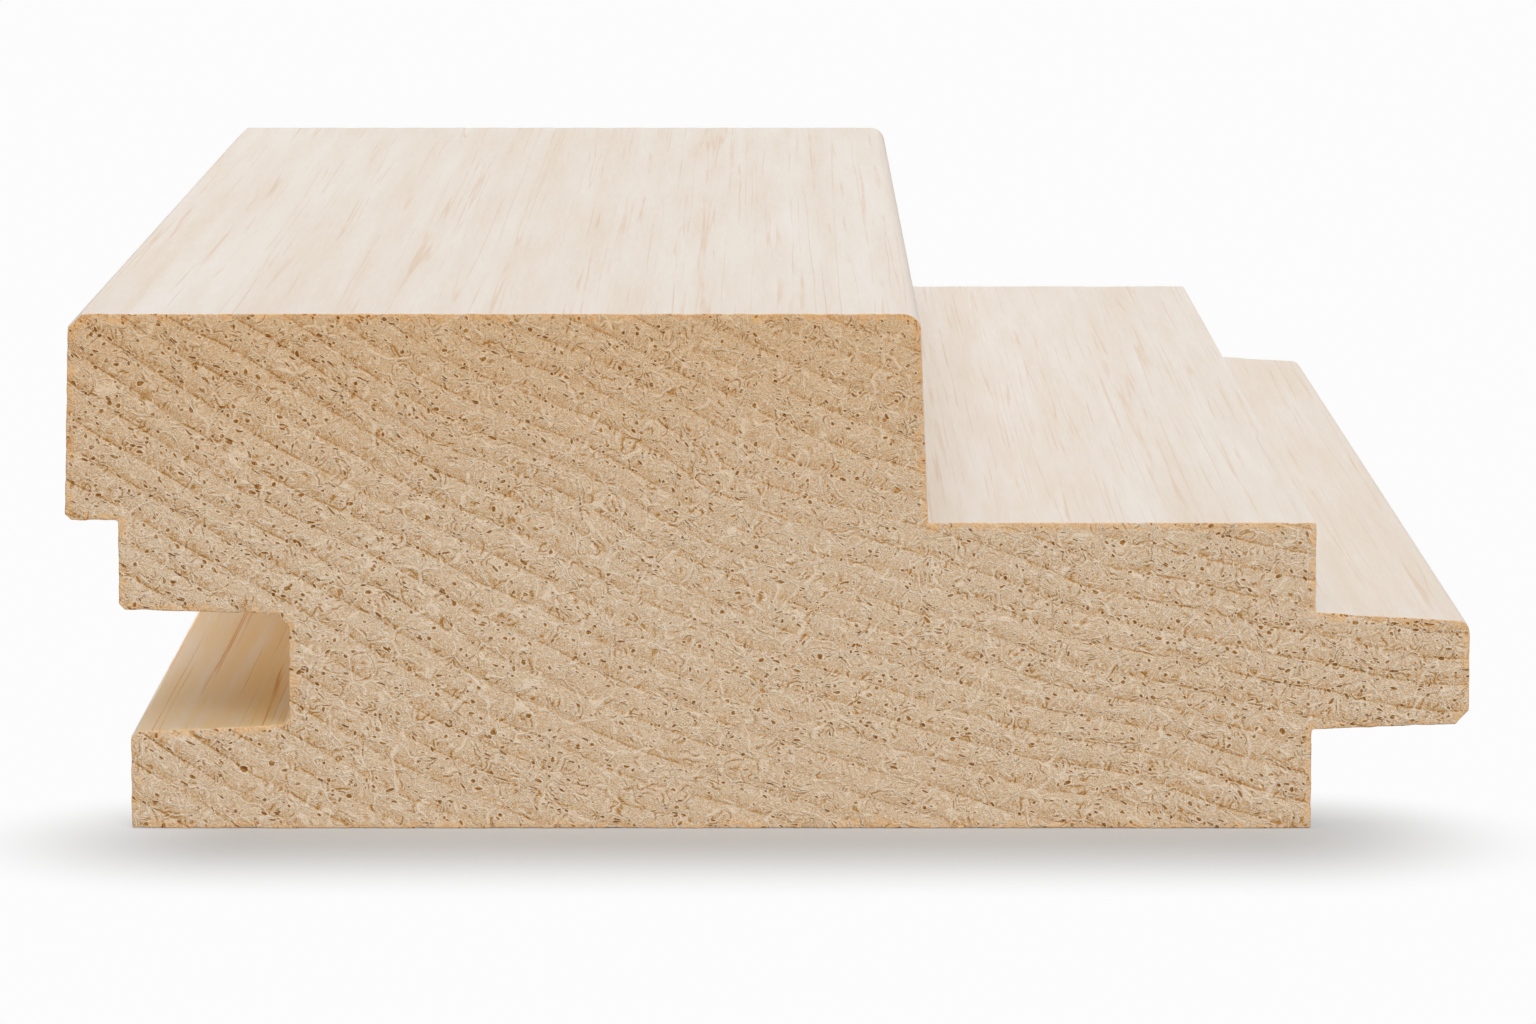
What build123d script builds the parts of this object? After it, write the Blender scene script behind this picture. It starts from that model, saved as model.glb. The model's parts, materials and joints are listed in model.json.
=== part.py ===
"""Channel siding board: one planed length of solid timber with a tongue and a groove.

Millimetres. X runs across the board, from the groove edge to the tongue edge, Y runs along
the grain and Z is up. The board lies on its back, with its weather face on top. The origin is
the middle of the underside.
"""

import os

from build123d import *

# Driving dimensions
LENGTH = 200.0  # along the grain
WIDTH = 115.0  # overall, from the lip's edge to the tongue's tip
THICKNESS = 42.5  # from the back to the raised weather face
COVER = 98.0  # the width that one board covers once its neighbour is fitted

# The raised weather face and its two leaning flanks
FACE_LEFT = -57.07
FACE_RIGHT = 12.43
FLANK_FOOT = 13.1  # the right flank at the ledge; the lip's edge is the left flank's foot
FACE_CHAMFER = 1.1
FACE_ROUND = 1.4

# The lip that laps over the neighbour's ledge, and the step behind it
LIP_EDGE = -WIDTH / 2
LIP_UNDERSIDE = 25.5
LIP_CHAMFER = 0.5
STEP = -53.15

# The ledge: the sunk channel floor beside the raised face. It butts on the neighbour's step.
LEDGE_TOP = 25.35
LEDGE_END = STEP + COVER

# The groove, a little wider at its mouth
GROOVE_END = -39.26
GROOVE_FLOOR_DEEP = 8.65
GROOVE_FLOOR_MOUTH = 8.05
GROOVE_CEILING_DEEP = 17.75
GROOVE_CEILING_MOUTH = 18.15
GROOVE_FLOOR_CHAMFER = 0.5
GROOVE_CEILING_CHAMFER = 1.0
MOUTH_CHAMFER = 0.5
LOWER_LIP = -52.28

# The tongue, a little thinner at its tip
TONGUE_TIP = WIDTH / 2
TONGUE_TOP_ROOT = 17.95
TONGUE_TOP_TIP = 17.2
TONGUE_UNDERSIDE_ROOT = 8.2
TONGUE_UNDERSIDE_TIP = 8.7
TONGUE_ROUND = 1.0
TONGUE_CHAMFER = 1.1
LOWER_SHOULDER = 44.61

# The sharp corners that the cutters ease, each with the size of its chamfer or round
FACE_LEFT_CORNER = (FACE_LEFT, THICKNESS)
FACE_RIGHT_CORNER = (FACE_RIGHT, THICKNESS)
LIP_CORNER = (LIP_EDGE, LIP_UNDERSIDE)
MOUTH_CEILING_CORNER = (STEP, GROOVE_CEILING_MOUTH)
MOUTH_FLOOR_CORNER = (LOWER_LIP, GROOVE_FLOOR_MOUTH)
DEEP_CEILING_CORNER = (GROOVE_END, GROOVE_CEILING_DEEP)
DEEP_FLOOR_CORNER = (GROOVE_END, GROOVE_FLOOR_DEEP)
TONGUE_TOP_CORNER = (TONGUE_TIP, TONGUE_TOP_TIP)
TONGUE_UNDERSIDE_CORNER = (TONGUE_TIP, TONGUE_UNDERSIDE_TIP)

CHAMFERS = {
    FACE_LEFT_CORNER: FACE_CHAMFER,
    LIP_CORNER: LIP_CHAMFER,
    MOUTH_CEILING_CORNER: MOUTH_CHAMFER,
    MOUTH_FLOOR_CORNER: MOUTH_CHAMFER,
    DEEP_CEILING_CORNER: GROOVE_CEILING_CHAMFER,
    DEEP_FLOOR_CORNER: GROOVE_FLOOR_CHAMFER,
    TONGUE_UNDERSIDE_CORNER: TONGUE_CHAMFER,
}
ROUNDS = {
    FACE_RIGHT_CORNER: FACE_ROUND,
    TONGUE_TOP_CORNER: TONGUE_ROUND,
}


def sharp_corners():
    """The section's corners before easing, anticlockwise from the back's groove side."""
    return [
        (LOWER_LIP, 0),
        (LOWER_SHOULDER, 0),
        (LOWER_SHOULDER, TONGUE_UNDERSIDE_ROOT),
        TONGUE_UNDERSIDE_CORNER,
        TONGUE_TOP_CORNER,
        (LEDGE_END, TONGUE_TOP_ROOT),
        (LEDGE_END, LEDGE_TOP),
        (FLANK_FOOT, LEDGE_TOP),
        FACE_RIGHT_CORNER,
        FACE_LEFT_CORNER,
        LIP_CORNER,
        (STEP, LIP_UNDERSIDE),
        MOUTH_CEILING_CORNER,
        DEEP_CEILING_CORNER,
        DEEP_FLOOR_CORNER,
        MOUTH_FLOOR_CORNER,
    ]


def nearest_vertex(sketch, corner):
    """The vertex of the section that stands at a corner."""
    return sketch.vertices().sort_by_distance(corner)[0]


def section():
    """The planed section, drawn across the grain."""
    with BuildSketch(Plane.XZ) as sketch:
        with BuildLine():
            Polyline(*sharp_corners(), close=True)
        make_face()
        for corner, size in CHAMFERS.items():
            chamfer(nearest_vertex(sketch, corner), size)
        for corner, radius in ROUNDS.items():
            fillet(nearest_vertex(sketch, corner), radius)
    return sketch.sketch


siding_board = extrude(section(), LENGTH / 2, both=True)

os.makedirs("parts", exist_ok=True)
export_step(siding_board, "parts/siding_board.step")
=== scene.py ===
"""Wood siding board: the looks of one planed length of pale hardwood.

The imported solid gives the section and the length. This script gives the board its sawn ends,
its eased edges and its two finishes, and a plain studio to see it in. Blender units are metres,
and sizes are named in millimetres where a maker would read them so.
"""

import json
import math

import bmesh
import bpy
import numpy as np
from bpy.props import FloatProperty, FloatVectorProperty, IntProperty, PointerProperty
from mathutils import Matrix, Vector
from mathutils.geometry import delaunay_2d_cdt


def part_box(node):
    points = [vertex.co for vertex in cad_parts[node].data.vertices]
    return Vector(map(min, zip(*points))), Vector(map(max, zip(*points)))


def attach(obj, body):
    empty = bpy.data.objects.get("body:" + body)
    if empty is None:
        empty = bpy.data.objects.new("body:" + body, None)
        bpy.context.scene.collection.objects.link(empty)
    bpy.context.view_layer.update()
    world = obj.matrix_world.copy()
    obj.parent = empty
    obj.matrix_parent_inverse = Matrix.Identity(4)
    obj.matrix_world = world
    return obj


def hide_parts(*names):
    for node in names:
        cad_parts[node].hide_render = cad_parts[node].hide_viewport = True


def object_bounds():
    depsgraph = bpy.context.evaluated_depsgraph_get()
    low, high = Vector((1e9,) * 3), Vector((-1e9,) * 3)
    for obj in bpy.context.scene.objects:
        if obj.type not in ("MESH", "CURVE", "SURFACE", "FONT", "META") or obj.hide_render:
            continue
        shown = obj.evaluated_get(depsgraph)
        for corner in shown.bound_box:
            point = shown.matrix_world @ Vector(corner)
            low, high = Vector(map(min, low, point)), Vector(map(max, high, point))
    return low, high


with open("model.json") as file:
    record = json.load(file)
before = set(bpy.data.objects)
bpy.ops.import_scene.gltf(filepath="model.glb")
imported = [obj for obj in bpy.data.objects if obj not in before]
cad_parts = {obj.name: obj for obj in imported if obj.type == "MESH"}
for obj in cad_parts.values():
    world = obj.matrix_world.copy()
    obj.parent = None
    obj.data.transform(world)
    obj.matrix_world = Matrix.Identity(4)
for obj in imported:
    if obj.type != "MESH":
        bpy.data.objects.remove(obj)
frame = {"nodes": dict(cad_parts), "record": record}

bl_info = {
    "name": "Hardwood Siding Board",
    "version": (1, 0, 0),
    "blender": (4, 5, 0),
    "location": "3D View > Sidebar > Siding Board",
    "description": "Makes a tongue-and-groove siding board with sawn ends, and a studio for it",
    "category": "Object",
}

CAD_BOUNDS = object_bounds()
NODE = "siding_board"
BODY = "root"

MM = 0.001
LOW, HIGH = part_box(NODE)
GROOVE_BOX = next(
    opening["box_m"]
    for opening in frame["record"]["physics"]["openings"]
    if opening["name"] == "groove"
)
GROOVE_ROOM = 1 * MM  # how far over and under that box the groove's walls may lie; inwards, twice

# The floor, its shade, partly painted shadow, and the strip lamp that lights the groove
FLOOR_REACH = 30.0  # metres, from the board to the floor's edge
SHADE_INSET = 17 * MM  # how far inside the board's width the shade on the floor is darkest
SHADE_SHIFT = -1.4 * MM  # the board's underside lies nearer its groove edge, and so does the shade
SHADE_OFFSET = 6 * MM  # how far past an end the shade on the floor is darkest
STRIP_WIDTH = 10 * MM
STRIP_PLACE = (LOW.x - 84 * MM, 20 * MM, 67 * MM)
STRIP_LEAN = math.radians(-57)
STRIP_SPREAD = math.radians(40)

# The names that the mesh and the materials share
CROSSCUT = "crosscut"  # 1 on a sawn end, falling to 0 along the planed faces beside it
RIM = "rim"  # how far a point of a sawn end is from the end's outline, in millimetres
BAKE_MAP = "OFBake"  # where each face lies on the square map that a bake would paint

# How the mesh is divided. Each row of points beside a sawn end takes its share of the end's relief.
AROUND_STEP = 4 * MM  # between the points round the planed faces
LONG_STEP = 8 * MM  # between the rows along the planed faces
EASE_ROWS = ((30, 1.0), (60, 0.9), (90, 0.7))  # degrees round the worn edge, and the share
FADE_ROWS = ((0.45 * MM, 0.3), (0.9 * MM, 0.0))  # the depth from the end, and the share
PLANED_START = 2 * MM  # the depth from the end at which the coarse rows start
SAWN_ROWS = 2  # how many rows of faces beside an end have the end's finish

# The square map's layout: the two sawn ends below, large, and the planed faces above, unrolled
MAP_MARGIN = 0.008
END_SHARE = 0.255  # the height of one sawn end's place on the map
END_SCALE = 0.245 / (HIGH.z - LOW.z)  # map units to a metre of the sawn end
LONG_SHARE = 0.485  # the height of the planed faces' place on the map

# The log that the board was sawn from. The pith lies above the board and to its right.
PITH = (93.0, 0.0, 259.0)  # mm
RING_SPACING = 2.25  # mm
RING_RADIUS = 250.0  # mm, from the pith to the middle of the board's end
GRAIN_STRETCH = 22.0  # how much longer than wide a pattern in the wood is

# How far apart the patterns' patches are, in millimetres across the grain
RING_BENDS = 20.0
RING_WAVES = 4.0
TEARS = 1.1
LATE_PATCHES = 3.5  # where the late wood is darker
STEP_BREAKS = 0.7  # where the saw's steps at the rings are broken off
FIBRE_HILLS = 0.95
CURL_PATCHES = 0.7  # where the cut fibres curl
VESSEL_CROWDS = 3.0  # where vessels stand closer
FUZZ = 0.1
RIM_TUFTS = 0.9
WIDE_STREAKS = 6.0
STREAKS = 1.6
THREADS = 1.1
THREAD_PATCHES = 1.2  # where the planer laid vessels open
FACE_FIBRES = 0.25

# Fibre bundles, large and small: the size along a growth ring and from ring to ring in
# millimetres, the width of the pale edge as a share of that, and the noise that hides or shows it
BUNDLES = ((2.1, 1.9, 0.035, 0.44, 0.54), (0.8, 0.6, 0.06, 0.48, 0.57))


def linear(hex_colour, alpha=1.0):
    """A colour written as sRGB hex, as the linear numbers that Blender works in."""
    parts = [int(hex_colour[i : i + 2], 16) / 255 for i in (0, 2, 4)]
    return (*(c / 12.92 if c <= 0.04045 else ((c + 0.055) / 1.055) ** 2.4 for c in parts), alpha)


def add(tree, kind, inputs, out=None, **settings):
    """Adds a node with its settings and its inputs' values or links, and gives one output.

    Sockets are named by their identifiers. Without a name the output is the first one in use.
    """
    node = tree.nodes.new(kind)
    for name, value in settings.items():
        setattr(node, name, value)
    for name, value in inputs.items():
        socket = next(s for s in node.inputs if s.identifier == name)
        if isinstance(value, bpy.types.NodeSocket):
            tree.links.new(value, socket)
        else:
            socket.default_value = value
    if out:
        return next(s for s in node.outputs if s.identifier == out)
    return next((s for s in node.outputs if s.enabled), None)


def colour_property(name, hex_colour, description):
    """A colour that the user can change, with a default written as sRGB hex."""
    return FloatVectorProperty(
        name=name, description=description, default=linear(hex_colour),
        size=4, min=0.0, max=1.0, subtype="COLOR",
    )


class BoardSizes(bpy.types.PropertyGroup):
    """The sizes that the board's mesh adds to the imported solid."""

    mesh_step: FloatProperty(
        name="Mesh step", description="Distance between the points of a sawn end",
        default=0.34 * MM, min=0.2 * MM, max=5 * MM, unit="LENGTH", precision=5,
    )
    edge_ease: FloatProperty(
        name="Edge ease", description="Radius that the cutters leave on each long edge",
        default=0.2 * MM, min=0.2 * MM, max=1 * MM, unit="LENGTH", precision=5,
    )
    end_ease: FloatProperty(
        name="End ease", description="Radius of the worn edge round each sawn end",
        default=0.16 * MM, min=0.02 * MM, max=0.19 * MM, unit="LENGTH", precision=5,
    )
    ring_relief: FloatProperty(
        name="Ring relief", description="How deep the soft wood of a growth ring sinks",
        default=0.05 * MM, min=0.0, max=0.5 * MM, unit="LENGTH", precision=5,
    )
    tear_relief: FloatProperty(
        name="Tear relief", description="How deep the saw tears the wood at the end's edge",
        default=0.1 * MM, min=0.0, max=1 * MM, unit="LENGTH", precision=5,
    )
    seed: IntProperty(name="Seed", description="Another seed gives another end", default=4)


class TimberColours(bpy.types.PropertyGroup):
    """The colours of the wood, as its two cuts show them."""

    end_ridge: colour_property("End grain, fibre", "EED9BF", "Raised fibres that catch the light")
    end_light: colour_property("End grain, light", "DBBE9C", "Soft early wood across the grain")
    end_dark: colour_property("End grain, dark", "BD8B4D", "Dense late wood across the grain")
    end_pore: colour_property("Vessel", "8F5820", "The shade inside an open vessel")
    end_rim: colour_property("End rim tint", "FFEBD0", "Wood that the saw warmed along the edge")
    end_warmth: colour_property("Weather side tint", "F9EBD6", "Browner wood near the weather face")
    face_pale: colour_property("Planed face, pale", "E7DED5", "Pale streaks along the grain")
    face_tan: colour_property("Planed face, tan", "DCCBB7", "Tan streaks along the grain")
    face_line: colour_property("Vessel line tint", "E7BD8E", "A vessel that the planer laid open")
    # Painted shade: the darker, browner colour drawn on the groove's walls
    groove_shade: colour_property("Groove", "E3C289", "Wood that the grooving cutter rubbed")


class StudioSettings(bpy.types.PropertyGroup):
    """The camera and the light."""

    camera_distance: FloatProperty(
        name="Camera distance", description="From the near end to the camera",
        default=614.6 * MM, unit="LENGTH",
    )
    camera_height: FloatProperty(
        name="Camera height", description="Above the floor", default=104.35 * MM, unit="LENGTH",
    )
    camera_pitch: FloatProperty(
        name="Camera pitch", description="How far the camera looks down",
        default=math.radians(7.245), subtype="ANGLE",
    )
    camera_lens: FloatProperty(
        name="Focal length", description="On a sensor 36 mm wide", default=177.7,
        subtype="DISTANCE_CAMERA",
    )
    sky: FloatProperty(name="Sky", description="Soft light from all round", default=0.4)
    top_lamp: FloatProperty(name="Top lamp", description="Light from overhead", default=0.2)
    front_lamp: FloatProperty(name="Front lamp", description="Light from the front", default=0.5)
    back_lamp: FloatProperty(name="Back lamp", description="Light from behind", default=0.14)
    strip_lamp: FloatProperty(
        name="Strip lamp", description="Watts of the low strip that lights the groove", default=0.0145,
    )
    floor: colour_property("Floor", "BCBCBC", "The floor's own colour")
    floor_white: colour_property("Floor, seen", "FCFCFC", "The surroundings, where no shadow falls")
    # Painted shadow: the darker colour drawn on the floor close to the board
    floor_shade: colour_property(
        "Floor, shaded", "D2D2D2", "The floor's colour close to the board",
    )
    shade_reach: FloatProperty(
        name="Shade reach", description="How far from the board the shade on the floor is seen",
        default=27 * MM, unit="LENGTH",
    )


def packed_section():
    """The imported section's corners in metres, across and up, anticlockwise from the near end."""
    solid = bmesh.new()
    solid.from_mesh(frame["nodes"][NODE].data)
    bmesh.ops.remove_doubles(solid, verts=solid.verts, dist=0.001 * MM)
    near = {face for face in solid.faces if face.normal.y < -0.99}
    following = {
        loop.vert: loop.link_loop_next.vert
        for face in near
        for loop in face.loops
        if any(other not in near for other in loop.edge.link_faces)
    }
    start = vert = next(iter(following))
    corners = []
    while not corners or vert is not start:
        corners.append((vert.co.x, vert.co.z))
        vert = following[vert]
    solid.free()
    return corners


def eased(outline, radius, sharp=math.radians(25), steps=4):
    """The outline with a small curve in place of each sharp corner."""
    curve = []
    points = [Vector(p) for p in outline]
    for before, corner, after in zip(points[-1:] + points[:-1], points, points[1:] + points[:1]):
        back, ahead = before - corner, after - corner
        turn = math.pi - back.angle(ahead)
        if turn < sharp:
            curve.append(tuple(corner))
            continue
        reach = min(radius * math.tan(turn / 2), 0.4 * back.length, 0.4 * ahead.length)
        first, last = corner + back.normalized() * reach, corner + ahead.normalized() * reach
        for i in range(steps + 1):
            t = i / steps
            place = first * (1 - t) ** 2 + corner * 2 * t * (1 - t) + last * t**2
            curve.append(tuple(place))
    return curve


def divided(outline, step):
    """The outline with its long spans divided evenly, and where each old point now stands."""
    points, kept = [], []
    for start, end in zip(outline, outline[1:] + outline[:1]):
        parts = max(1, round(math.dist(start, end) / step))
        kept.append(len(points))
        for i in range(parts):
            t = i / parts
            points.append((start[0] + (end[0] - start[0]) * t, start[1] + (end[1] - start[1]) * t))
    return points, kept


def shrunk(outline, distance):
    """Each point of the outline moved straight inwards, corners along their bisectors."""
    points = np.array(outline)
    ahead = np.roll(points, -1, 0) - points
    ahead /= np.linalg.norm(ahead, axis=1)[:, None]
    behind = np.roll(ahead, 1, 0)
    inward = np.stack([-(ahead + behind)[:, 1], (ahead + behind)[:, 0]], 1)
    inward /= np.linalg.norm(inward, axis=1)[:, None]
    lean = (np.stack([-ahead[:, 1], ahead[:, 0]], 1) * inward).sum(1)
    return points + inward * (distance / lean)[:, None]


def distance_to(outline, points):
    """How far each point is from the outline, and whether it is inside."""
    starts = np.array(outline)
    spans = np.roll(starts, -1, 0) - starts
    nearest = np.full(len(points), np.inf)
    inside = np.zeros(len(points), bool)
    for start, span in zip(starts, spans):
        away = points - start
        share = np.clip(away @ span / (span @ span), 0, 1)
        nearest = np.minimum(nearest, np.linalg.norm(away - share[:, None] * span, axis=1))
        crosses = (away[:, 1] >= 0) != (away[:, 1] >= span[1])
        if span[1]:
            inside ^= crosses & (away[:, 0] < span[0] * away[:, 1] / span[1])
    return nearest, inside


def lattice(outline, step):
    """Points of a staggered lattice inside the outline, clear of it by most of a step."""
    corners = np.array(outline)
    (left, bottom), (right, top) = corners.min(0), corners.max(0)
    rise = step * math.sqrt(3) / 2
    rows = np.arange(bottom, top, rise)
    columns = np.arange(left, right, step)
    across, up = np.meshgrid(columns, rows)
    across[1::2] += step / 2
    points = np.stack([across.ravel(), up.ravel()], 1)
    nearest, inside = distance_to(outline, points)
    return points[inside & (nearest > 0.7 * step)]


def joined(first, second, count):
    """Faces between two rows round the board, each with its corners' places on the outline.

    A row maps places on the outline to vertices. The last face ends at the place after the last
    one, which is the outline's start again.
    """
    shared = sorted(set(first) & set(second)) + [count]
    first, second = {**first, count: first[0]}, {**second, count: second[0]}
    for start, end in zip(shared, shared[1:]):
        near = [first[i] for i in range(start, end + 1) if i in first]
        far = [second[i] for i in range(start, end + 1) if i in second]
        places = [i for i in range(end, start - 1, -1) if i in first]
        yield [*far, *reversed(near)], [i for i in range(start, end + 1) if i in second] + places


def board_mesh(sizes):
    """The board as one closed mesh: two finely divided sawn ends and the planed faces between."""
    outline = eased(packed_section(), sizes.edge_ease)
    coarse, _ = divided(outline, AROUND_STEP)
    fine, kept = divided(coarse, sizes.mesh_step)
    count = len(fine)
    rim = shrunk(fine, sizes.end_ease)
    inner = lattice([tuple(p) for p in rim], sizes.mesh_step)
    sheet = delaunay_2d_cdt(
        [Vector(p) for p in np.concatenate([rim, inner])], [], [list(range(count))], 1, 1e-9
    )
    end_points = np.array([tuple(p) for p in sheet[0]])
    end_rim = distance_to(outline, end_points)[0] / MM

    verts, crosscut, rims, faces, sawn, map_places = [], [], [], [], [], []
    spans = np.linalg.norm(np.roll(fine, -1, 0) - fine, axis=1)
    around = np.concatenate([[0.0], np.cumsum(spans)])
    length = HIGH.y - LOW.y
    long_scale = min((1 - 2 * MAP_MARGIN) / around[-1], 0.98 * LONG_SHARE / length)

    def add_points(points, y, share, far_from_rim):
        start = len(verts)
        verts.extend((x, y, z) for x, z in points)
        crosscut.extend([share] * len(points))
        rims.extend(far_from_rim)
        return start

    def row(depth, share, places, side):
        """A row of points round the board, at a depth from one of its ends."""
        ease = sizes.end_ease
        lift = max(0.0, 1 - depth / ease)
        inset = ease * (1 - math.sqrt(1 - lift**2))
        points = shrunk(fine, inset)[places] if inset > 0 else np.array(fine)[places]
        y = LOW.y + depth if side < 0 else HIGH.y - depth
        start = add_points(points, y, share, [inset / MM] * len(places))
        return {place: start + i for i, place in enumerate(places)}

    everywhere = list(range(count))
    ends = {}
    for side, y in ((-1, LOW.y), (1, HIGH.y)):
        start = add_points(end_points, y, 1.0, end_rim)
        base = MAP_MARGIN + (0.0 if side < 0 else END_SHARE)
        for face in sheet[2]:
            corners = [start + i for i in face]
            corners = corners if side < 0 else corners[::-1]
            faces.append(corners)
            sawn.append(True)
            for corner in corners:
                x, _, z = verts[corner]
                map_places.append(
                    (MAP_MARGIN + (x - LOW.x) * END_SCALE, base + (z - LOW.z) * END_SCALE),
                )
        ends[side] = {place: start + place for place in everywhere}

    eases = [(1 - math.cos(math.radians(angle)), share) for angle, share in EASE_ROWS]
    depths = [(sizes.end_ease * part, share, everywhere) for part, share in eases]
    depths += [(depth, share, everywhere) for depth, share in FADE_ROWS]
    depths += [(PLANED_START, 0.0, kept)]
    rows = [ends[-1]] + [row(*d, -1) for d in depths]
    stretches = round(length / LONG_STEP)
    first, last = PLANED_START, length - PLANED_START
    for i in range(1, stretches):
        rows.append(row(first + (last - first) * i / stretches, 0.0, kept, -1))
    rows += [row(*d, 1) for d in reversed(depths)] + [ends[1]]
    for i, (near, far) in enumerate(zip(rows, rows[1:])):
        for corners, places in joined(near, far, count):
            faces.append(corners)
            sawn.append(i < SAWN_ROWS or i >= len(rows) - 1 - SAWN_ROWS)
            for corner, place in zip(corners, places):
                up = (verts[corner][1] - LOW.y) * long_scale
                map_places.append((MAP_MARGIN + around[place] * long_scale, 1 - LONG_SHARE + up))

    mesh = bpy.data.meshes.new(NODE)
    mesh.from_pydata(verts, [], faces)
    mesh.uv_layers.new(name=BAKE_MAP).data.foreach_set("uv", np.array(map_places).ravel())
    mesh.attributes.new(CROSSCUT, "FLOAT", "POINT").data.foreach_set("value", crosscut)
    mesh.attributes.new(RIM, "FLOAT", "POINT").data.foreach_set("value", rims)
    mesh.polygons.foreach_set("material_index", [0 if cut else 1 for cut in sawn])
    mesh.polygons.foreach_set("use_smooth", [True] * len(faces))
    return mesh


def growth_rings(tree, place):
    """How many growth rings lie between the pith and a place in the wood."""
    flat = add(
        tree, "ShaderNodeVectorMath", {"Vector": place, "Vector_001": (1, 0, 1)},
        operation="MULTIPLY",
    )
    away = add(
        tree, "ShaderNodeVectorMath", {"Vector": flat, "Vector_001": PITH}, operation="DISTANCE",
        out="Value",
    )
    bends = add(tree, "ShaderNodeTexNoise", {"Vector": place, "Scale": 1 / RING_BENDS, "Detail": 1.0})
    waves = add(tree, "ShaderNodeTexNoise", {"Vector": place, "Scale": 1 / RING_WAVES, "Detail": 1.0})
    rings = add(
        tree, "ShaderNodeMath", {"Value": away, "Value_001": 1 / RING_SPACING},
        operation="MULTIPLY",
    )
    return summed(tree, ((bends, 1.6), (waves, 0.14), (rings, 1.0)))


def ring_place(tree, place, rings):
    """A place told by its growth ring: along the ring, along the grain and from ring to ring."""
    parts = add(tree, "ShaderNodeSeparateXYZ", {"Vector": place}, out="X")
    beside = add(tree, "ShaderNodeMath", {"Value": parts, "Value_001": PITH[0]}, operation="SUBTRACT")
    under = add(
        tree, "ShaderNodeMath", {"Value": PITH[2], "Value_001": parts.node.outputs["Z"]},
        operation="SUBTRACT",
    )
    turn = add(tree, "ShaderNodeMath", {"Value": beside, "Value_001": under}, operation="ARCTAN2")
    along = add(
        tree, "ShaderNodeMath", {"Value": turn, "Value_001": -RING_RADIUS}, operation="MULTIPLY",
    )
    outward = add(
        tree, "ShaderNodeMath", {"Value": rings, "Value_001": RING_SPACING}, operation="MULTIPLY",
    )
    return add(tree, "ShaderNodeCombineXYZ", {"X": along, "Y": parts.node.outputs["Y"], "Z": outward})


def summed(tree, parts):
    """The sum of several values, each times its own weight."""
    total = 0.0
    for value, weight in parts:
        total = add(
            tree, "ShaderNodeMath",
            {"Value": value, "Value_001": weight, "Value_002": total}, operation="MULTIPLY_ADD",
        )
    return total


def wood_place(tree, position, shift=(0.0, 0.0, 0.0)):
    """A place in millimetres, shortened along the grain so that every pattern runs along it."""
    scale = (1 / MM, 1 / MM / GRAIN_STRETCH, 1 / MM)
    place = add(
        tree, "ShaderNodeVectorMath", {"Vector": position, "Vector_001": scale},
        operation="MULTIPLY",
    )
    return add(tree, "ShaderNodeVectorMath", {"Vector": place, "Vector_001": shift}, operation="ADD")


def warped(tree, place, size, reach):
    """A place moved a little way by soft noise of a given size, both in millimetres."""
    noise = add(
        tree, "ShaderNodeTexNoise", {"Vector": place, "Scale": 1 / size, "Detail": 0.0},
        out="Color",
    )
    centred = add(
        tree, "ShaderNodeVectorMath", {"Vector": noise, "Vector_001": (0.5, 0.5, 0.5)},
        operation="SUBTRACT",
    )
    moved = add(
        tree, "ShaderNodeVectorMath", {"Vector": centred, "Vector_001": (2 * reach, 0, 2 * reach)},
        operation="MULTIPLY",
    )
    return add(tree, "ShaderNodeVectorMath", {"Vector": place, "Vector_001": moved}, operation="ADD")


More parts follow.
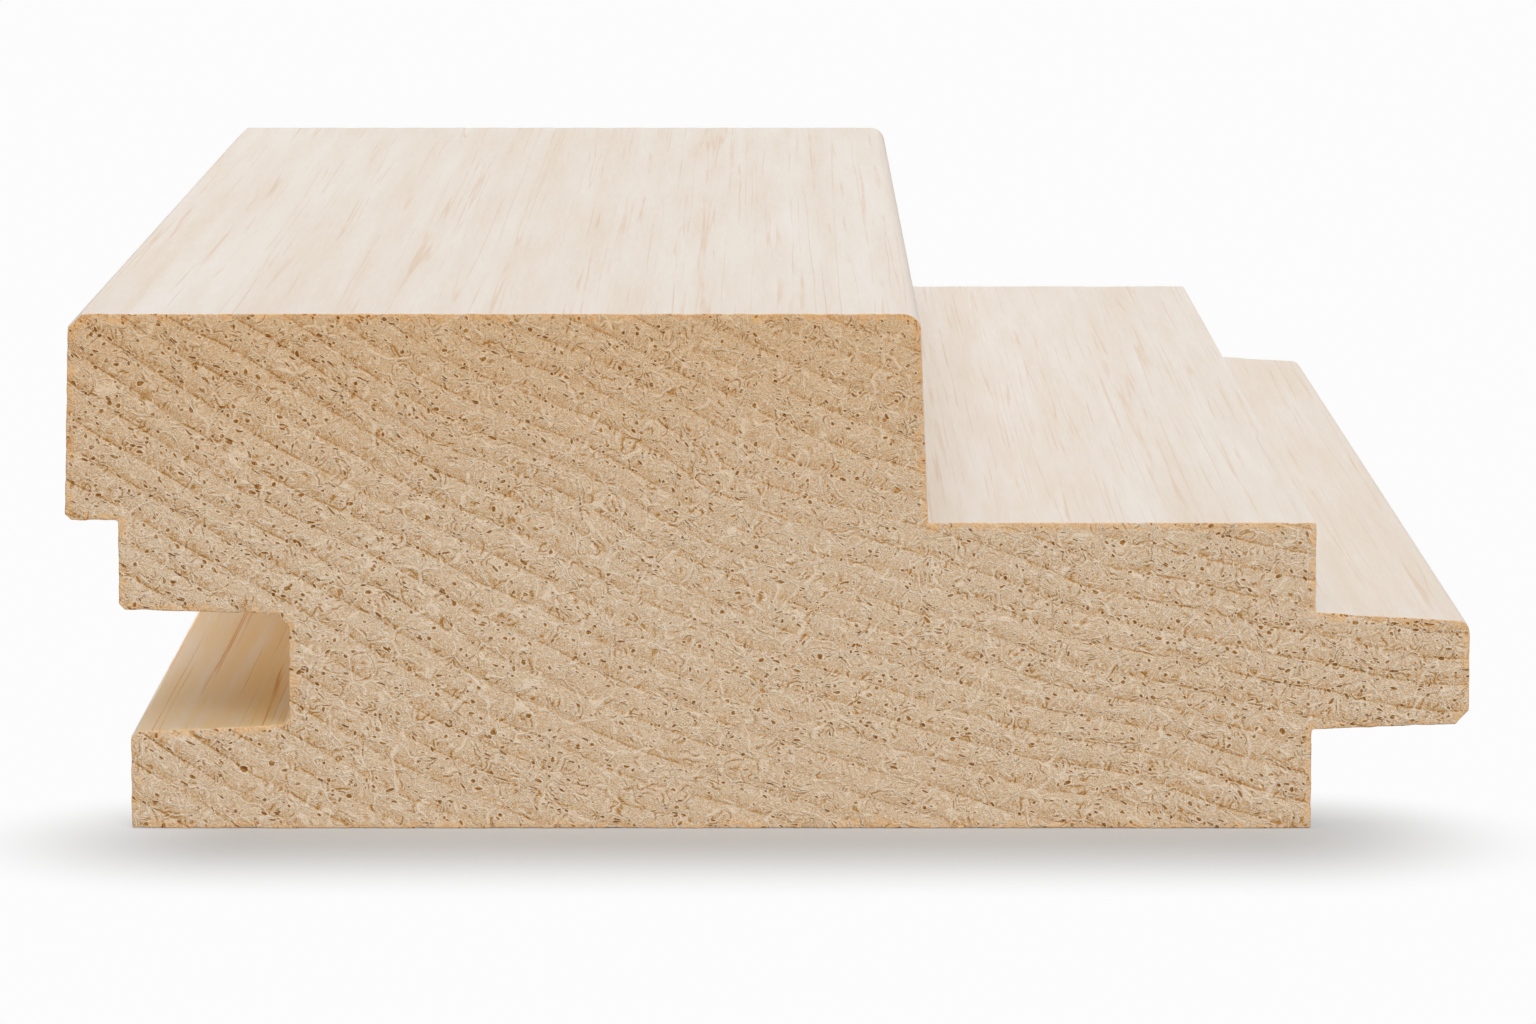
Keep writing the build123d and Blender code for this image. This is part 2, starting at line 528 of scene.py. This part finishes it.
def relief_tree(materials):
    """Sinks the surface of the sawn ends along their growth rings and tears their edges."""
    tree = bpy.data.node_groups.new("Sawn end relief", "GeometryNodeTree")
    face = tree.interface
    face.new_socket("Geometry", in_out="INPUT", socket_type="NodeSocketGeometry")
    for name in ("Ring relief", "Tear relief"):
        face.new_socket(name, in_out="INPUT", socket_type="NodeSocketFloat")
    face.new_socket("Seed", in_out="INPUT", socket_type="NodeSocketFloat")
    face.new_socket("Geometry", in_out="OUTPUT", socket_type="NodeSocketGeometry")
    given = tree.nodes.new("NodeGroupInput")
    ring_relief, tear_relief, seed = (given.outputs[n] for n in ("Ring relief", "Tear relief", "Seed"))

    position = add(tree, "GeometryNodeInputPosition", {})
    shift = add(tree, "ShaderNodeCombineXYZ", {"Y": seed})
    place = wood_place(tree, position, shift)
    rings = growth_rings(tree, place)
    phase = add(tree, "ShaderNodeMath", {"Value": rings}, operation="FRACT")
    sink = add(tree, "ShaderNodeMath", {"Value": phase, "Value_001": 2.0}, operation="POWER")
    sink = add(tree, "ShaderNodeMath", {"Value": sink, "Value_001": ring_relief}, operation="MULTIPLY")

    # The saw tears the wood at the end where it leaves, and hardly at the other
    along = add(tree, "ShaderNodeSeparateXYZ", {"Vector": position}, out="Y")
    rough = add(
        tree, "ShaderNodeMapRange",
        {"Value": along, "From Min": LOW.y, "From Max": HIGH.y, "To Min": 1.0, "To Max": 0.2},
    )
    lumps = add(tree, "ShaderNodeTexNoise", {"Vector": place, "Scale": 1 / TEARS, "Detail": 2.0})
    tear = add(tree, "ShaderNodeMapRange", {"Value": lumps, "From Min": 0.45, "From Max": 0.75})
    tear = add(tree, "ShaderNodeMath", {"Value": tear, "Value_001": rough}, operation="MULTIPLY")
    rim = add(tree, "GeometryNodeInputNamedAttribute", {"Name": RIM}, data_type="FLOAT")
    near_rim = add(
        tree, "ShaderNodeMapRange",
        {"Value": rim, "From Min": 0.0, "From Max": 0.8, "To Min": 1.0, "To Max": 0.12},
    )
    tear = add(tree, "ShaderNodeMath", {"Value": tear, "Value_001": near_rim}, operation="MULTIPLY")
    depth = add(
        tree, "ShaderNodeMath", {"Value": tear, "Value_001": tear_relief, "Value_002": sink},
        operation="MULTIPLY_ADD",
    )

    share = add(tree, "GeometryNodeInputNamedAttribute", {"Name": CROSSCUT}, data_type="FLOAT")
    depth = add(tree, "ShaderNodeMath", {"Value": depth, "Value_001": share}, operation="MULTIPLY")
    depth = add(tree, "ShaderNodeMath", {"Value": depth, "Value_001": -1.0}, operation="MULTIPLY")
    normal = add(tree, "GeometryNodeInputNormal", {})
    offset = add(tree, "ShaderNodeVectorMath", {"Vector": normal, "Scale": depth}, operation="SCALE")
    geometry = add(
        tree, "GeometryNodeSetPosition", {"Geometry": given.outputs["Geometry"], "Offset": offset},
    )
    geometry = add(tree, "GeometryNodeRealizeInstances", {"Geometry": geometry})
    cut = add(tree, "GeometryNodeInputMaterialIndex", {})
    for index, material in enumerate(materials):
        chosen = add(
            tree, "FunctionNodeCompare", {"A_INT": cut, "B_INT": index}, data_type="INT",
            operation="EQUAL",
        )
        geometry = add(
            tree, "GeometryNodeSetMaterial",
            {"Geometry": geometry, "Selection": chosen, "Material": material},
        )
    result = tree.nodes.new("NodeGroupOutput")
    tree.links.new(geometry, result.inputs["Geometry"])
    return tree


def with_relief(base, sizes, materials):
    """The base mesh with its sawn ends' relief, as a plain mesh."""
    for material in materials:
        base.materials.append(material)
    blank = bpy.data.objects.new("blank", base)
    bpy.context.scene.collection.objects.link(blank)
    modifier = blank.modifiers.new("Relief", "NODES")
    modifier.node_group = relief_tree(materials)
    values = {
        "Ring relief": sizes.ring_relief, "Tear relief": sizes.tear_relief,
        "Seed": float(sizes.seed),
    }
    for item in modifier.node_group.interface.items_tree:
        if item.in_out == "INPUT" and item.name in values:
            modifier[item.identifier] = values[item.name]
    depsgraph = bpy.context.evaluated_depsgraph_get()
    mesh = bpy.data.meshes.new_from_object(blank.evaluated_get(depsgraph))
    bpy.data.objects.remove(blank)
    return mesh


def principled(name, roughness, specular):
    """A new material with a plain shader, and the pieces that its pattern hangs on."""
    material = bpy.data.materials.new(name)
    material.use_nodes = True
    tree = material.node_tree
    shader = tree.nodes["Principled BSDF"]
    shader.inputs["Roughness"].default_value = roughness
    shader.inputs["Specular IOR Level"].default_value = specular
    position = add(tree, "ShaderNodeTexCoord", {}, out="Object")
    return material, tree, shader, position


def ramped(tree, value, stops):
    """A colour that a value picks from a row of stops, each a place from 0 to 1 and a colour."""
    colour = add(tree, "ShaderNodeValToRGB", {"Fac": value})
    elements = colour.node.color_ramp.elements
    while len(elements) < len(stops):
        elements.new(0.5)
    for element, (place, stop) in zip(elements, stops):
        element.position = place
        element.color = stop
    return colour


def marks(tree, place, crowd, length, width, share, radius):
    """Scattered marks of random size in cells of a given length and width in millimetres.

    The value is over 0 inside a mark and falls off round it. Crowd is a value about 0 that makes
    the marks more or fewer from place to place, and the radius is a share of the cell.
    """
    cells = add(
        tree, "ShaderNodeVectorMath",
        {"Vector": place, "Vector_001": (1 / length, 1.0, 1 / width)}, operation="MULTIPLY",
    )
    away = add(tree, "ShaderNodeTexVoronoi", {"Vector": cells, "Scale": 1.0}, out="Distance")
    chance = add(tree, "ShaderNodeSeparateXYZ", {"Vector": away.node.outputs["Color"]}, out="X")
    chance = add(tree, "ShaderNodeMath", {"Value": chance, "Value_001": crowd}, operation="ADD")
    there = add(
        tree, "ShaderNodeMath", {"Value": chance, "Value_001": 1 - share}, operation="GREATER_THAN",
    )
    size = add(
        tree, "ShaderNodeMapRange",
        {
            "Value": chance, "From Min": 1 - share, "From Max": 1.0, "To Min": 0.5 * radius,
            "To Max": radius,
        },
    )
    return summed(tree, ((there, 1.0), (size, 1.0), (away, -1.0), (-1.0, 1.0)))


def end_grain(colours):
    """Sawn hardwood across the grain: dull, with open vessels, torn fibres and growth rings."""
    material, tree, shader, position = principled("sawn end grain", 0.9, 0.12)
    place = wood_place(tree, position)
    rings = growth_rings(tree, place)
    turned = ring_place(tree, place, rings)
    curled = warped(tree, turned, size=2.4, reach=0.5)
    curled = warped(tree, curled, size=0.75, reach=0.24)

    # Growth rings: the dense wood at each ring's end is darker, more so here than there,
    # and the saw leaves a fine step where the next ring starts, sunk in the bump and painted darker as
    # painted shade
    phase = add(tree, "ShaderNodeMath", {"Value": rings}, operation="FRACT")
    late = add(
        tree, "ShaderNodeMapRange", {"Value": phase, "From Min": 0.4, "From Max": 0.9},
        interpolation_type="SMOOTHSTEP",
    )
    early = add(
        tree, "ShaderNodeMapRange",
        {"Value": phase, "From Min": 0.96, "From Max": 1.0, "To Min": 1.0, "To Max": 0.0},
    )
    late = add(tree, "ShaderNodeMath", {"Value": late, "Value_001": early}, operation="MULTIPLY")
    drawn = add(
        tree, "ShaderNodeVectorMath", {"Vector": turned, "Vector_001": (0.25, 1, 1)},
        operation="MULTIPLY",
    )
    patches = add(
        tree, "ShaderNodeTexNoise", {"Vector": drawn, "Scale": 1 / LATE_PATCHES, "Detail": 2.0},
    )
    strength = add(
        tree, "ShaderNodeMapRange",
        {"Value": patches, "From Min": 0.35, "From Max": 0.65, "To Min": 0.48, "To Max": 0.7},
    )
    side = add(tree, "ShaderNodeSeparateXYZ", {"Vector": place}, out="X")
    side = add(tree, "ShaderNodeMath", {"Value": side}, operation="ABSOLUTE")
    side = add(
        tree, "ShaderNodeMapRange",
        {"Value": side, "From Min": 10.0, "From Max": 50.0, "To Min": 0.6, "To Max": 1.0},
    )
    strength = add(tree, "ShaderNodeMath", {"Value": strength, "Value_001": side}, operation="MULTIPLY")
    band = add(tree, "ShaderNodeMath", {"Value": late, "Value_001": strength}, operation="MULTIPLY")
    # Painted shade along the saw's step at each ring
    step = add(
        tree, "ShaderNodeMapRange", {"Value": phase, "From Min": 0.88, "From Max": 0.94},
        interpolation_type="SMOOTHSTEP",
    )
    step = add(tree, "ShaderNodeMath", {"Value": step, "Value_001": early}, operation="MULTIPLY")
    broken = add(
        tree, "ShaderNodeTexNoise", {"Vector": drawn, "Scale": 1 / STEP_BREAKS, "Detail": 1.0},
    )
    shown = add(
        tree, "ShaderNodeMapRange", {"Value": broken, "From Min": 0.42, "From Max": 0.58},
        interpolation_type="SMOOTHSTEP",
    )
    shown = add(tree, "ShaderNodeMath", {"Value": shown, "Value_001": side}, operation="MULTIPLY")
    step = add(tree, "ShaderNodeMath", {"Value": step, "Value_001": shown}, operation="MULTIPLY")

    # Fibre bundles: cells between the rays and the rings, whose edges stand up in the bump and are
    # painted pale, partly a painted highlight where the raised fibres catch the light
    ridges = []
    edges = []
    for length, width, line, low, high in BUNDLES:
        cells = add(
            tree, "ShaderNodeVectorMath",
            {"Vector": curled, "Vector_001": (1 / length, 1.0, 1 / width)}, operation="MULTIPLY",
        )
        edge = add(
            tree, "ShaderNodeTexVoronoi", {"Vector": cells, "Scale": 1.0},
            feature="DISTANCE_TO_EDGE",
        )
        ridge = add(
            tree, "ShaderNodeMapRange",
            {
                "Value": edge, "From Min": 0.3 * line, "From Max": 1.4 * line, "To Min": 1.0,
                "To Max": 0.0,
            },
            interpolation_type="SMOOTHSTEP",
        )
        shown = add(
            tree, "ShaderNodeTexNoise",
            {"Vector": turned, "Scale": 1 / (0.55 * length), "Detail": 0.0},
        )
        shown = add(
            tree, "ShaderNodeMapRange", {"Value": shown, "From Min": low, "From Max": high},
            interpolation_type="SMOOTHSTEP",
        )
        ridges.append(
            add(tree, "ShaderNodeMath", {"Value": ridge, "Value_001": shown}, operation="MULTIPLY"),
        )
        edges.append(edge)
    ridge = add(
        tree, "ShaderNodeMath", {"Value": ridges[0], "Value_001": ridges[1]}, operation="MAXIMUM",
    )

    # Curls: the fibres' cut ends, in fine lines that follow the bundles. The crevices between them sink
    # a little in the bump and are painted darker, as painted shade
    hills = add(tree, "ShaderNodeTexNoise", {"Vector": curled, "Scale": 1 / FIBRE_HILLS, "Detail": 1.0})
    curls = summed(tree, ((hills, 15.0), (edges[0], 34.0)))
    curls = add(tree, "ShaderNodeMath", {"Value": curls}, operation="SINE")
    chance = add(
        tree, "ShaderNodeTexNoise", {"Vector": turned, "Scale": 1 / CURL_PATCHES, "Detail": 0.0},
        out="Color",
    )
    chance = add(tree, "ShaderNodeSeparateXYZ", {"Vector": chance}, out="X")
    shown = add(
        tree, "ShaderNodeMapRange",
        {"Value": chance, "From Min": 0.42, "From Max": 0.6, "To Min": 0.2, "To Max": 1.0},
        interpolation_type="SMOOTHSTEP",
    )
    curls = add(tree, "ShaderNodeMath", {"Value": curls, "Value_001": shown}, operation="MULTIPLY")
    # Painted shade in the crevices between the curls
    crevice_shade = add(
        tree, "ShaderNodeMapRange", {"Value": curls, "From Min": -0.5, "From Max": -0.95},
        interpolation_type="SMOOTHSTEP",
    )
    shown = add(
        tree, "ShaderNodeMapRange",
        {"Value": chance.node.outputs["Y"], "From Min": 0.45, "From Max": 0.57},
        interpolation_type="SMOOTHSTEP",
    )
    crevice_shade = add(tree, "ShaderNodeMath", {"Value": crevice_shade, "Value_001": shown}, operation="MULTIPLY")

    # Open vessels, and the slits where the saw dragged them open along and across the rings
    crowd = add(
        tree, "ShaderNodeTexNoise", {"Vector": turned, "Scale": 1 / VESSEL_CROWDS, "Detail": 1.0},
    )
    crowd = summed(tree, ((crowd, 0.32), (side, 0.3), (-0.415, 1.0)))
    vessels = marks(tree, curled, crowd, length=0.62, width=0.55, share=0.43, radius=0.35)
    slits = marks(tree, curled, crowd, length=0.95, width=0.33, share=0.34, radius=0.34)
    inside = add(tree, "ShaderNodeMath", {"Value": vessels, "Value_001": slits}, operation="MAXIMUM")
    holes = add(
        tree, "ShaderNodeMapRange", {"Value": inside, "From Min": -0.03, "From Max": 0.12},
        interpolation_type="SMOOTHSTEP",
    )
    # Painted highlight: a pale rim round each vessel and slit, also raised a little in the bump
    lip_highlights = add(
        tree, "ShaderNodeMapRange", {"Value": inside, "From Min": -0.17, "From Max": -0.05},
        interpolation_type="SMOOTHSTEP",
    )

    # The fuzz of cut fibres
    fuzz = add(tree, "ShaderNodeTexNoise", {"Vector": place, "Scale": 1 / FUZZ, "Detail": 0.0})

    # Along the end's outline the saw warmed the wood, in tufts
    rim = add(tree, "ShaderNodeAttribute", {}, attribute_name=RIM, out="Fac")
    tufts = add(tree, "ShaderNodeTexVoronoi", {"Vector": place, "Scale": 1 / RIM_TUFTS}, out="Color")
    tufts = add(tree, "ShaderNodeSeparateXYZ", {"Vector": tufts}, out="X")
    tufts = add(tree, "ShaderNodeMapRange", {"Value": tufts, "To Min": 0.1, "To Max": 0.9})
    warm = add(tree, "ShaderNodeMath", {"Value": tufts, "Value_001": rim}, operation="SUBTRACT")
    warm = add(
        tree, "ShaderNodeMapRange", {"Value": warm, "From Min": -0.2, "From Max": 0.4},
        interpolation_type="SMOOTHSTEP",
    )
    # Towards the weather face the wood is a little browner
    up = add(tree, "ShaderNodeSeparateXYZ", {"Vector": position}, out="Z")
    brown = add(
        tree, "ShaderNodeMapRange",
        {"Value": up, "From Min": 0.55 * HIGH.z, "From Max": HIGH.z, "To Max": 0.8},
    )

    # From raised pale fibre, 0, through tan wood to the shade in a vessel, 1
    tone = summed(
        tree,
        (
            (fuzz, 0.64), (curls, -0.09), (band, 0.27), (step, 0.2), (ridge, -0.29),
            (crevice_shade, 0.24), (holes, 0.86), (lip_highlights, -0.29), (warm, -0.16), (-0.075, 1.0),
        ),
    )
    colour = ramped(
        tree, tone,
        (
            (0.0, colours.end_ridge), (0.3, colours.end_light), (0.6, colours.end_dark),
            (1.0, colours.end_pore),
        ),
    )
    for factor, tint in ((brown, colours.end_warmth), (warm, colours.end_rim)):
        colour = add(
            tree, "ShaderNodeMix", {"Factor_Float": factor, "A_Color": colour, "B_Color": tint},
            data_type="RGBA", blend_type="MULTIPLY", out="Result_Color",
        )
    tree.links.new(colour, shader.inputs["Base Color"])

    # Relief too fine for the mesh, in millimetres
    height = summed(
        tree,
        (
            (ridge, 0.04), (curls, 0.016), (crevice_shade, -0.02), (fuzz, 0.07),
            (step, -0.03), (holes, -0.06), (lip_highlights, 0.02),
        ),
    )
    bump = add(tree, "ShaderNodeBump", {"Strength": 1.0, "Distance": MM, "Height": height})
    tree.links.new(bump, shader.inputs["Normal"])
    return material


def long_grain(colours):
    """Planed hardwood along the grain: smooth and pale, with soft streaks and fine vessel lines."""
    material, tree, shader, position = principled("planed long grain", 0.6, 0.3)
    place = wood_place(tree, position)
    rings = growth_rings(tree, place)
    phase = add(tree, "ShaderNodeMath", {"Value": rings}, operation="FRACT")
    late = add(
        tree, "ShaderNodeMapRange", {"Value": phase, "From Min": 0.2, "From Max": 0.8},
        interpolation_type="SMOOTHSTEP",
    )
    early = add(
        tree, "ShaderNodeMapRange",
        {"Value": phase, "From Min": 0.8, "From Max": 1.0, "To Min": 1.0, "To Max": 0.0},
        interpolation_type="SMOOTHSTEP",
    )
    late = add(tree, "ShaderNodeMath", {"Value": late, "Value_001": early}, operation="MULTIPLY")
    wide = add(
        tree, "ShaderNodeTexNoise", {"Vector": place, "Scale": 1 / WIDE_STREAKS, "Detail": 1.0},
    )
    streaks = add(tree, "ShaderNodeTexNoise", {"Vector": place, "Scale": 1 / STREAKS, "Detail": 3.0})
    # Vessels that the planer laid open: wavy lines about 0.1 mm wide and 10 to 50 mm long
    wavy = warped(tree, place, size=1.3, reach=0.14)
    drawn = add(
        tree, "ShaderNodeVectorMath", {"Vector": wavy, "Vector_001": (1, 0.1, 1)},
        operation="MULTIPLY",
    )
    threads = add(tree, "ShaderNodeTexNoise", {"Vector": drawn, "Scale": 1 / THREADS, "Detail": 1.0})
    threads = add(tree, "ShaderNodeMath", {"Value": threads, "Value_001": 0.5}, operation="SUBTRACT")
    threads = add(tree, "ShaderNodeMath", {"Value": threads}, operation="ABSOLUTE")
    threads = add(
        tree, "ShaderNodeMapRange",
        {"Value": threads, "From Min": 0.004, "From Max": 0.028, "To Min": 1.0, "To Max": 0.0},
        interpolation_type="SMOOTHSTEP",
    )
    patches = add(
        tree, "ShaderNodeTexNoise", {"Vector": place, "Scale": 1 / THREAD_PATCHES, "Detail": 2.0},
    )
    patches = add(tree, "ShaderNodeMapRange", {"Value": patches, "From Min": 0.42, "From Max": 0.6})
    threads = add(
        tree, "ShaderNodeMath", {"Value": threads, "Value_001": patches}, operation="MULTIPLY",
    )

    # The groove's walls are painted darker and browner, more so deeper in: painted shade, as less light
    # gets in and it bounces back warm
    x = add(tree, "ShaderNodeSeparateXYZ", {"Vector": position}, out="X")
    z = x.node.outputs["Z"]
    depth = add(
        tree, "ShaderNodeMapRange",
        {
            "Value": x, "From Min": GROOVE_BOX[0][0], "From Max": GROOVE_BOX[1][0], "To Min": 0.7,
            "To Max": 1.0,
        },
    )
    above = add(
        tree, "ShaderNodeMath", {"Value": z, "Value_001": GROOVE_BOX[0][2] - GROOVE_ROOM},
        operation="GREATER_THAN",
    )
    below = add(
        tree, "ShaderNodeMath", {"Value": z, "Value_001": GROOVE_BOX[1][2] + GROOVE_ROOM},
        operation="LESS_THAN",
    )
    left = add(
        tree, "ShaderNodeMath", {"Value": x, "Value_001": GROOVE_BOX[1][0] + 2 * GROOVE_ROOM},
        operation="LESS_THAN",
    )
    inside = add(tree, "ShaderNodeMath", {"Value": above, "Value_001": below}, operation="MULTIPLY")
    inside = add(tree, "ShaderNodeMath", {"Value": inside, "Value_001": left}, operation="MULTIPLY")
    # Painted shade on the groove's walls, darker deeper in
    darkened = add(tree, "ShaderNodeMath", {"Value": inside, "Value_001": depth}, operation="MULTIPLY")

    fibre = add(
        tree, "ShaderNodeTexNoise", {"Vector": place, "Scale": 1 / FACE_FIBRES, "Detail": 1.0},
    )
    tone = summed(tree, ((wide, 1.2), (streaks, 1.1), (fibre, 0.5), (late, 0.15), (-1.0, 1.0)))
    colour = ramped(tree, tone, ((0.0, colours.face_pale), (1.0, colours.face_tan)))
    uneven = add(
        tree, "ShaderNodeMapRange",
        {"Value": streaks, "From Min": 0.35, "From Max": 0.62, "To Min": 0.55, "To Max": 1.0},
    )
    darkened = add(tree, "ShaderNodeMath", {"Value": darkened, "Value_001": uneven}, operation="MULTIPLY")
    lines = add(
        tree, "ShaderNodeMath", {"Value": inside, "Value_001": 0.6, "Value_002": 0.34},
        operation="MULTIPLY_ADD",
    )
    lines = add(tree, "ShaderNodeMath", {"Value": lines, "Value_001": threads}, operation="MULTIPLY")
    for factor, over, blend in (
        (darkened, colours.groove_shade, "MIX"), (lines, colours.face_line, "MULTIPLY"),
    ):
        colour = add(
            tree, "ShaderNodeMix",
            {"Factor_Float": factor, "A_Color": colour, "B_Color": over},
            data_type="RGBA", blend_type=blend, out="Result_Color",
        )
    tree.links.new(colour, shader.inputs["Base Color"])
    height = summed(tree, ((threads, -0.012), (streaks, 0.01)))
    bump = add(tree, "ShaderNodeBump", {"Strength": 1.0, "Distance": MM, "Height": height})
    tree.links.new(bump, shader.inputs["Normal"])
    return material


class MakeBoard(bpy.types.Operator):
    """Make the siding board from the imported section, with its sawn ends and planed faces"""

    bl_idname = "siding.make_board"
    bl_label = "Make board"

    def execute(self, context):
        sizes, colours = context.scene.board_sizes, context.scene.timber_colours
        materials = [end_grain(colours), long_grain(colours)]
        mesh = with_relief(board_mesh(sizes), sizes, materials)
        board = bpy.data.objects.new("board", mesh)
        context.scene.collection.objects.link(board)
        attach(board, BODY)
        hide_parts(NODE)
        return {"FINISHED"}


def shown_apart(tree, plain, seen):
    """Mixes two shaders: plain lights the board, and seen is what the camera and gloss show."""
    path = tree.nodes.new("ShaderNodeLightPath")
    shown = path.outputs["Is Camera Ray"]
    for ray in ("Is Glossy Ray", "Is Transmission Ray"):
        shown = add(
            tree, "ShaderNodeMath", {"Value": shown, "Value_001": path.outputs[ray]},
            operation="MAXIMUM",
        )
    return add(tree, "ShaderNodeMixShader", {"Fac": shown, "Shader": plain, "Shader_001": seen})


def floor_paint(studio):
    """Matt white paint: the board's real shadow shows round it, on a colour painted darker close to the
    board as painted shadow, and plain white further off.
    """
    material = bpy.data.materials.new("matt white floor")
    material.use_nodes = True
    tree = material.node_tree
    tree.nodes.clear()
    place = add(tree, "ShaderNodeTexCoord", {}, out="Object")
    (low_x, low_y), (high_x, high_y) = ((round(c[0], 4), round(c[1], 4)) for c in CAD_BOUNDS)
    middle = ((low_x + high_x) / 2 + SHADE_SHIFT, (low_y + high_y) / 2, 0)
    darkest = ((high_x - low_x) / 2 - SHADE_INSET, (high_y - low_y) / 2 + SHADE_OFFSET, 0)
    away = add(
        tree, "ShaderNodeVectorMath", {"Vector": place, "Vector_001": middle}, operation="SUBTRACT",
    )
    away = add(tree, "ShaderNodeVectorMath", {"Vector": away}, operation="ABSOLUTE")
    away = add(
        tree, "ShaderNodeVectorMath", {"Vector": away, "Vector_001": darkest}, operation="SUBTRACT",
    )
    away = add(
        tree, "ShaderNodeVectorMath", {"Vector": away, "Vector_001": (0, -1, 0)},
        operation="MAXIMUM",
    )
    away = add(tree, "ShaderNodeVectorMath", {"Vector": away}, operation="LENGTH", out="Value")
    clear = add(
        tree, "ShaderNodeMapRange",
        {"Value": away, "From Min": 0.0, "From Max": studio.shade_reach},
        interpolation_type="SMOOTHSTEP",
    )
    # Painted shadow: close to the board the floor is drawn darker, under its real shadow; further off
    # it is plain white
    shaded = add(tree, "ShaderNodeBsdfDiffuse", {"Color": studio.floor_shade})
    white = add(tree, "ShaderNodeEmission", {"Color": studio.floor_white})
    seen = add(tree, "ShaderNodeMixShader", {"Fac": clear, "Shader": shaded, "Shader_001": white})
    plain = add(tree, "ShaderNodeBsdfDiffuse", {"Color": studio.floor})
    output = tree.nodes.new("ShaderNodeOutputMaterial")
    tree.links.new(shown_apart(tree, plain, seen), output.inputs["Surface"])
    return material


class MakeStudio(bpy.types.Operator):
    """Make the floor, the soft lamps, the white surroundings and the camera"""

    bl_idname = "siding.make_studio"
    bl_label = "Make studio"

    def execute(self, context):
        studio = context.scene.studio
        scene = context.scene

        floor_mesh = bpy.data.meshes.new("floor")
        far = FLOOR_REACH
        floor_mesh.from_pydata(
            [(-far, -far, 0), (far, -far, 0), (far, far, 0), (-far, far, 0)], [], [(0, 1, 2, 3)],
        )
        floor_mesh.materials.append(floor_paint(studio))
        floor = bpy.data.objects.new("floor", floor_mesh)
        scene.collection.objects.link(floor)

        # Wide suns, each with its tilt, its turn and its softness in degrees
        for name, light, tilt, turn, softness in (
            ("top lamp", studio.top_lamp, 0, 0, 60),
            ("front lamp", studio.front_lamp, 60, 12, 50),
            ("back lamp", studio.back_lamp, -60, 0, 50),
        ):
            lamp = bpy.data.lights.new(name, "SUN")
            lamp.energy = light * math.pi
            lamp.angle = math.radians(softness)
            holder = bpy.data.objects.new(name, lamp)
            holder.rotation_euler = (math.radians(tilt), 0, math.radians(turn))
            scene.collection.objects.link(holder)

        strip = bpy.data.lights.new("strip lamp", "AREA")
        strip.shape = "RECTANGLE"
        strip.size, strip.size_y = STRIP_WIDTH, HIGH.y - LOW.y
        strip.spread = STRIP_SPREAD
        strip.energy = studio.strip_lamp
        holder = bpy.data.objects.new("strip lamp", strip)
        holder.location = STRIP_PLACE
        holder.rotation_euler = (0, STRIP_LEAN, 0)
        holder.visible_camera = False
        scene.collection.objects.link(holder)

        world = bpy.data.worlds.new("white studio")
        scene.world = world
        world.use_nodes = True
        tree = world.node_tree
        tree.nodes.clear()
        plain = add(tree, "ShaderNodeBackground", {"Color": (1, 1, 1, 1), "Strength": studio.sky})
        seen = add(tree, "ShaderNodeBackground", {"Color": studio.floor_white, "Strength": 1.0})
        output = tree.nodes.new("ShaderNodeOutputWorld")
        tree.links.new(shown_apart(tree, plain, seen), output.inputs["Surface"])

        camera = bpy.data.cameras.new("camera")
        camera.lens = studio.camera_lens
        camera.sensor_width = 36.0
        camera.clip_start, camera.clip_end = 0.01, 100.0
        holder = bpy.data.objects.new("camera", camera)
        holder.location = (0.0, LOW.y - studio.camera_distance, studio.camera_height)
        holder.rotation_euler = (math.pi / 2 - studio.camera_pitch, 0, 0)
        scene.collection.objects.link(holder)
        scene.camera = holder
        scene.view_settings.view_transform = "Standard"
        return {"FINISHED"}


class BoardPanel(bpy.types.Panel):
    """Sizes, colours and light of the siding board"""

    bl_idname = "VIEW3D_PT_siding_board"
    bl_label = "Siding Board"
    bl_space_type = "VIEW_3D"
    bl_region_type = "UI"
    bl_category = "Siding Board"

    def draw(self, context):
        for group in (context.scene.board_sizes, context.scene.timber_colours, context.scene.studio):
            box = self.layout.box()
            for name in group.__annotations__:
                box.prop(group, name)
        self.layout.operator(MakeBoard.bl_idname)
        self.layout.operator(MakeStudio.bl_idname)


CLASSES = (BoardSizes, TimberColours, StudioSettings, MakeBoard, MakeStudio, BoardPanel)


def register():
    for cls in CLASSES:
        bpy.utils.register_class(cls)
    bpy.types.Scene.board_sizes = PointerProperty(type=BoardSizes)
    bpy.types.Scene.timber_colours = PointerProperty(type=TimberColours)
    bpy.types.Scene.studio = PointerProperty(type=StudioSettings)


def unregister():
    del bpy.types.Scene.studio
    del bpy.types.Scene.timber_colours
    del bpy.types.Scene.board_sizes
    for cls in reversed(CLASSES):
        bpy.utils.unregister_class(cls)


def main():
    register()
    bpy.ops.siding.make_studio()
    bpy.ops.siding.make_board()


if __name__ == "__main__":
    main()
